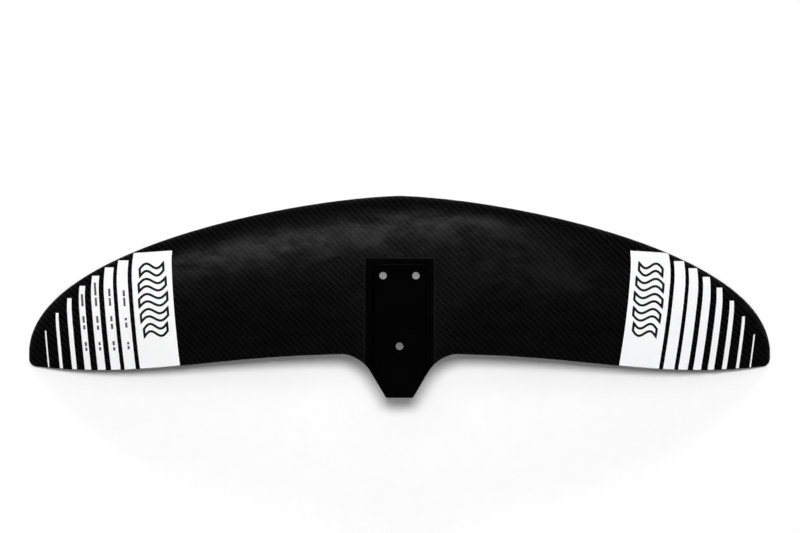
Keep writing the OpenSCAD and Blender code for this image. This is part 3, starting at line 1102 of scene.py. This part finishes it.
def strand_material():
    """Straight carbon fibre along the span, for the spar caps."""
    material, tree, shader, place = new_material("straight_carbon", Specular_IOR_Level=0.3)
    strands = noise(tree, stretched(tree, place, (0.02, 1.0, 1.0)), 1800.0, 4.0)
    feed(tree, shader.inputs["Base Color"], blend(tree, strands, grey(0.006), grey(0.03)))
    feed(tree, shader.inputs["Roughness"], spread(tree, strands, 0.3, 0.5))
    feed(tree, shader.inputs["Normal"], bump(tree, strands, 0.05 * MM, 0.4))
    return material


# ---- Building the wing ----


def dress(names, material):
    """Gives carried-over CAD nodes a material of their own."""
    for name in names:
        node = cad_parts[name]
        node.data.materials.clear()
        node.data.materials.append(material)


def build_wing():
    carbon, moulding, film = carbon_material(), block_material(), film_material()
    black_ink = ink_material("black_ink", 0.002, 0.004)
    grey_ink = ink_material("grey_ink", 0.05, 0.12)
    paste, steel = resin_material(), steel_material()
    pieces = [
        make_skin(
            "twill_upper_skin",
            "upper_skin",
            skin_top,
            lambda x, y: middle(x, y) + inner_half(x, y),
            carbon,
        ),
        make_skin(
            "twill_lower_skin",
            "lower_skin",
            lambda x, y: middle(x, y) - inner_half(x, y),
            skin_bottom,
            carbon,
        ),
    ]
    ribs = spanwise()
    outboard = ribs[ribs >= BLOCK_HALF - TINY]
    nose = close_up(0, NOSE_SHARE, 6, 2, at_end=False)
    rear = close_up(FILLER_SHARE, 1, 10, 2)
    pieces.append(
        make_bond("leading_edge_bond", "leading_edge_filler", mirrored(ribs), nose, paste)
    )
    for side, sign in SIDES.items():
        xs = outboard if sign > 0 else -outboard[::-1]
        node = "trailing_edge_filler_" + side
        pieces.append(make_bond("trailing_edge_bond_" + side, node, xs, rear, paste))
    pieces.append(make_block(moulding))
    for node in BUSHES:
        pieces.append(make_bush(node, steel))
    for side in SIDES:
        pieces += make_films(side, film)
        pieces.append(make_emblem(side, black_ink))
    pieces.append(make_marks("port", grey_ink))
    for piece in pieces:
        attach(piece, "root")
    cores = ("nose_core_port", "nose_core_starboard", "rear_core_port", "rear_core_starboard")
    dress(cores, foam_material("core_foam", (0.30, 0.17, 0.10, 1), (0.62, 0.42, 0.28, 1)))
    dress(["shear_web"], foam_material("web_foam", (0.20, 0.16, 0.10, 1), (0.46, 0.40, 0.26, 1)))
    dress(["upper_spar_cap", "lower_spar_cap"], strand_material())
    tips = ("tip_block_port", "tip_block_starboard")
    dress(tips, foam_material("tip_resin", grey(0.003), grey(0.012)))


# ---- Studio ----

FLOOR_SIZE = 14.0
VIEW_WIDTH = 0.929
VIEW_X = 0.0006
VIEW_Y = 0.0106
CAMERA_Z = 1.6
LAMP_AWAY = 2.4


def make_floor():
    """A wide sheet of pale paper under the tips."""
    mesh = bpy.data.meshes.new("floor")
    half = FLOOR_SIZE / 2
    z = CAD_BOUNDS[0].z
    mesh.from_pydata(
        [(-half, -half, z), (half, -half, z), (half, half, z), (-half, half, z)],
        [],
        [(0, 1, 2, 3)],
    )
    floor = bpy.data.objects.new("floor", mesh)
    bpy.context.scene.collection.objects.link(floor)
    material, tree, shader, place = new_material("floor_paper", Specular_IOR_Level=0.0)
    grain = noise(tree, place, 60.0, 3.0)
    shade = spread(tree, grain, 0.0, 1.0)
    feed(tree, shader.inputs["Base Color"], blend(tree, shade, grey(0.90), grey(0.91)))
    shader.inputs["Roughness"].default_value = 0.9
    floor.data.materials.append(material)
    floor.visible_glossy = False


def softbox(name, tilt, turn, width, height, power, mirrored_in=True, roll=0, away=LAMP_AWAY):
    """An area lamp that faces the middle of the wing, by tilt, turn and roll in degrees."""
    lamp = bpy.data.lights.new(name, "AREA")
    lamp.shape = "RECTANGLE"
    lamp.size, lamp.size_y = width, height
    lamp.energy = power
    holder = bpy.data.objects.new(name, lamp)
    bpy.context.scene.collection.objects.link(holder)
    lean, bearing = math.radians(tilt), math.radians(turn)
    holder.location = (
        away * math.sin(lean) * math.cos(bearing),
        away * math.sin(lean) * math.sin(bearing),
        away * math.cos(lean),
    )
    spin = Quaternion((0, 0, 1), math.radians(roll))
    holder.rotation_mode = "QUATERNION"
    holder.rotation_quaternion = holder.location.to_track_quat("Z", "Y") @ spin
    holder.visible_camera = False
    holder.visible_glossy = mirrored_in


def make_world():
    """Pale walls and a darker ceiling, by the direction alone."""
    world = bpy.data.worlds.new("studio")
    world.use_nodes = True
    bpy.context.scene.world = world
    tree = world.node_tree
    place = tree.nodes.new("ShaderNodeTexCoord").outputs["Generated"]
    split = tree.nodes.new("ShaderNodeSeparateXYZ")
    feed(tree, split.inputs[0], place)
    rise = ranged(tree, split.outputs[2], 0.08, 0.26, 0.0, 1.0)
    colour = blend(tree, rise, grey(0.22), grey(0.015))
    feed(tree, tree.nodes["Background"].inputs["Color"], colour)


def make_lamps():
    """The keys and the side lamp show in the coat, and the others light the floor and film."""
    softbox("key", 25.6, 88, 1.7, 0.55, 4.3, roll=32)
    softbox("key_port", 33.5, 145, 1.0, 0.5, 2.1, roll=-50)
    softbox("side", 21, 18, 0.8, 0.9, 0.55)
    softbox("back", 76, 270, 1.8, 0.6, 13)
    softbox("top", 5.5, 90, 0.6, 0.4, 50, mirrored_in=False)
    softbox("front", 70, 90, 1.6, 0.6, 26, mirrored_in=False)
    softbox("left", 66, 180, 1.2, 1.0, 14, mirrored_in=False, away=3.0)
    softbox("right", 66, 0, 1.2, 1.0, 14, mirrored_in=False, away=3.0)


def make_camera():
    """A camera straight above, without perspective."""
    camera = bpy.data.cameras.new("camera")
    camera.type = "ORTHO"
    camera.ortho_scale = VIEW_WIDTH
    holder = bpy.data.objects.new("camera", camera)
    holder.location = (VIEW_X, VIEW_Y, CAMERA_Z)
    bpy.context.scene.collection.objects.link(holder)
    bpy.context.scene.camera = holder
    bpy.context.scene.view_settings.view_transform = "Standard"


build_wing()
make_floor()
make_world()
make_lamps()
make_camera()
